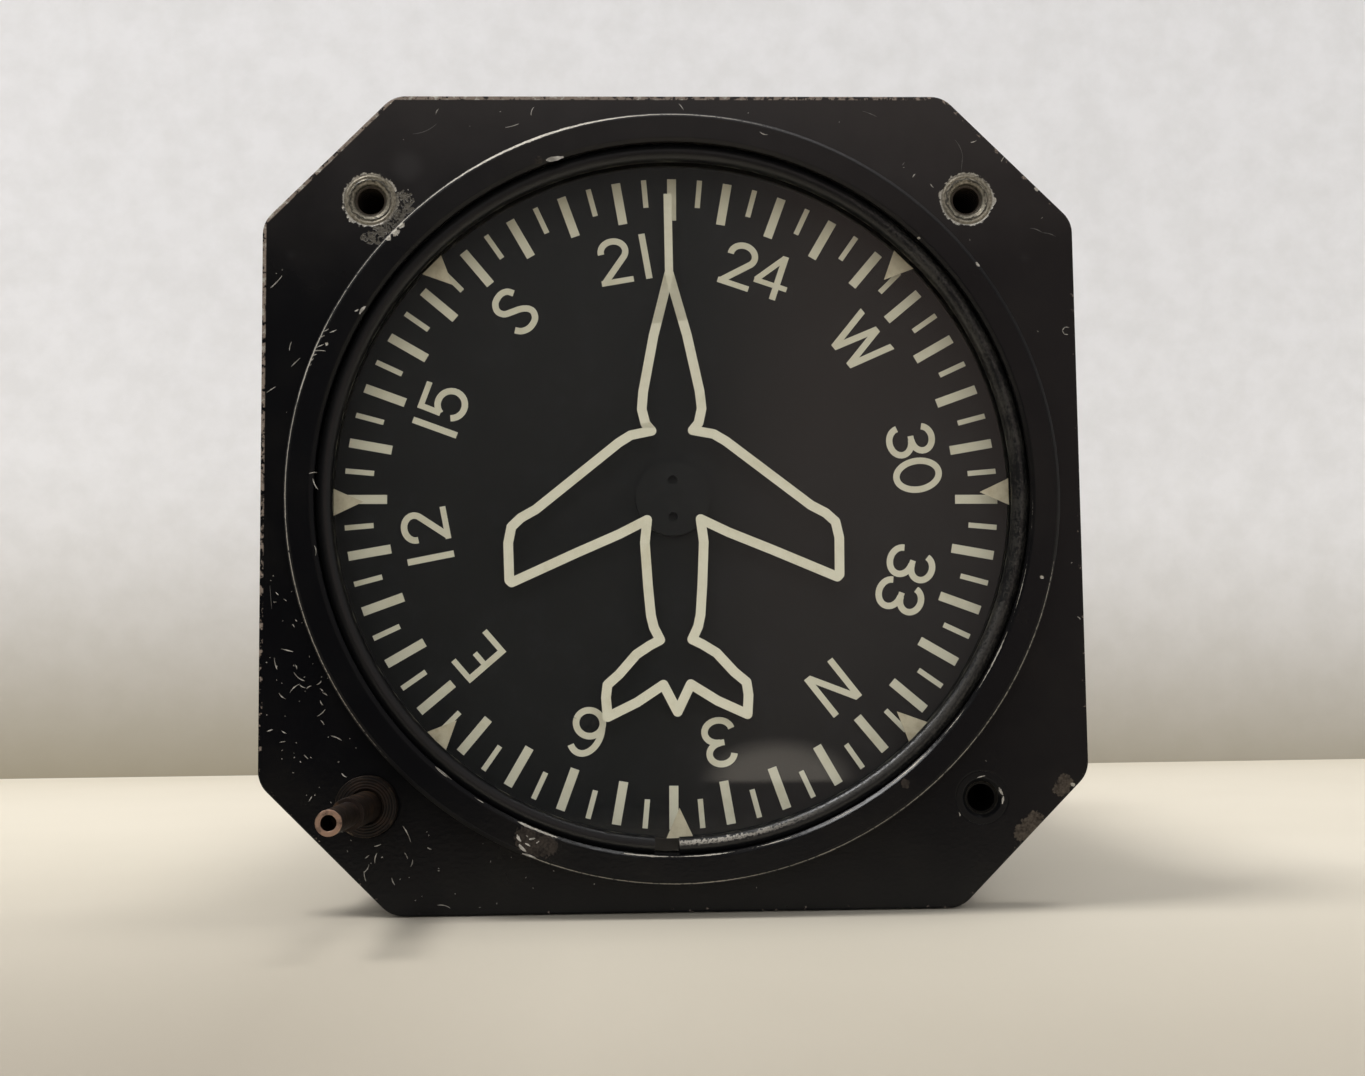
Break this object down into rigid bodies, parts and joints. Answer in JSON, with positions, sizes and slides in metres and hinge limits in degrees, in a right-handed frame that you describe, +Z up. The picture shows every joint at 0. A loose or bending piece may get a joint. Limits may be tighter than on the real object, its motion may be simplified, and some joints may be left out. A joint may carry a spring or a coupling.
{
  "type": "directional gyro indicator",
  "caption": "Air-driven directional gyro indicator: glazed compass card with a fixed aeroplane outline in a flanged round case, with a gimballed rotor and a push-to-cage setting shaft.",
  "frame": {"origin": "where the axis of the front boss crosses the front plane of the mounting flange", "axes": "+X to the right of the face, +Y back into the panel along the axis of the boss, +Z up"},
  "size_m": [0.0852, 0.1421, 0.0852],
  "materials": {
    "case_paint": "satin black, worn at the edges",
    "insert_metal": "plated, worn",
    "glass": "clear",
    "gasket_rubber": "matt",
    "black_trim": "black enamel",
    "index_paint": "aged luminous paint",
    "marking_paint": "matt ivory paint",
    "card_paint": "matt charcoal",
    "steel": "turned",
    "spring_steel": "drawn wire",
    "brass": "cut",
    "rotor_brass": "turned",
    "fitting_brass": "dull",
    "worn_brass": "tarnished, bare at the end",
    "bearing_bronze": "turned",
    "bushing_bronze": "dark, tarnished",
    "light_alloy": "machined"
  },
  "bodies": {
    "case": {"case_housing": "case_paint", "screw_inserts": "insert_metal", "cover_glass": "glass", "glass_gasket": "gasket_rubber", "mask_ring": "black_trim", "glass_retaining_ring": "black_trim", "lubber_marks": "index_paint", "aeroplane_outline": "marking_paint", "dial_bridge": "light_alloy", "bridge_screws": "steel", "card_bearing": "bearing_bronze", "idler_stud": "steel", "shaft_bushing": "bushing_bronze", "fork_guide_pin": "steel", "return_spring": "spring_steel", "pivot_plugs": "steel", "pivot_bearings": "bearing_bronze", "rear_cover": "case_paint", "rear_gasket": "gasket_rubber", "rear_cover_screws": "steel", "vacuum_fitting": "fitting_brass", "air_inlet_fitting": "fitting_brass", "inlet_filter_screen": "steel"},
    "card": {"compass_card": "card_paint", "card_graduations": "marking_paint", "card_hub": "card_paint", "card_shaft": "steel", "card_spur_gear": "brass", "card_bevel_cup": "light_alloy", "card_bevel_teeth": "brass"},
    "idler": {"idler_gear": "brass"},
    "caging_slide": {"caging_fork": "steel"},
    "setting": {"setting_shaft": "worn_brass", "setting_pinion": "brass", "shaft_clip": "steel"},
    "outer_gimbal": {"outer_gimbal_ring": "light_alloy", "outer_gimbal_pivots": "steel", "trunnion_bearings": "bearing_bronze", "gimbal_bevel_cup": "light_alloy", "gimbal_bevel_teeth": "brass"},
    "inner_gimbal": {"inner_gimbal_frame": "light_alloy", "inner_gimbal_trunnions": "steel", "rotor_bearings": "bearing_bronze", "balance_nuts": "brass", "air_nozzles": "brass"},
    "rotor": {"gyro_rotor": "rotor_brass", "rotor_axle": "steel"}
  },
  "joints": [
    {"name": "gimbal_turn", "type": "hinge", "parent": "case", "child": "outer_gimbal", "pos_m": [0, 0.04497, 0], "axis": [0, 0, 1], "continuous": true},
    {"name": "card_turn", "type": "hinge", "parent": "case", "child": "card", "pos_m": [0, 0.0053, 0], "axis": [0, 1, 0], "continuous": true},
    {"name": "idler_turn", "type": "hinge", "parent": "case", "child": "idler", "pos_m": [-0.02463, 0.0099, -0.02463], "axis": [0, 1, 0], "continuous": true},
    {"name": "gimbal_tilt", "type": "hinge", "parent": "outer_gimbal", "child": "inner_gimbal", "pos_m": [0, 0.04497, 0], "axis": [1, 0, 0], "range_deg": [-55, 55]},
    {"name": "rotor_spin", "type": "hinge", "parent": "inner_gimbal", "child": "rotor", "pos_m": [0, 0.04497, 0], "axis": [0, 1, 0], "continuous": true},
    {"name": "shaft_push", "type": "slide", "parent": "case", "child": "caging_slide", "axis": [0, 1, 0], "range_m": [0, 0.0039], "stiffness_N_per_m": 400, "springref_m": -0.002, "deforming": ["return_spring"]},
    {"name": "shaft_turn", "type": "hinge", "parent": "caging_slide", "child": "setting", "pos_m": [-0.03144, 0, -0.03144], "axis": [0, 1, 0], "continuous": true}
  ],
  "couplings": [
    {"joint": "card_turn", "follows": "gimbal_turn", "ratio": -1},
    {"joint": "idler_turn", "follows": "gimbal_turn", "ratio": 4.8}
  ]
}
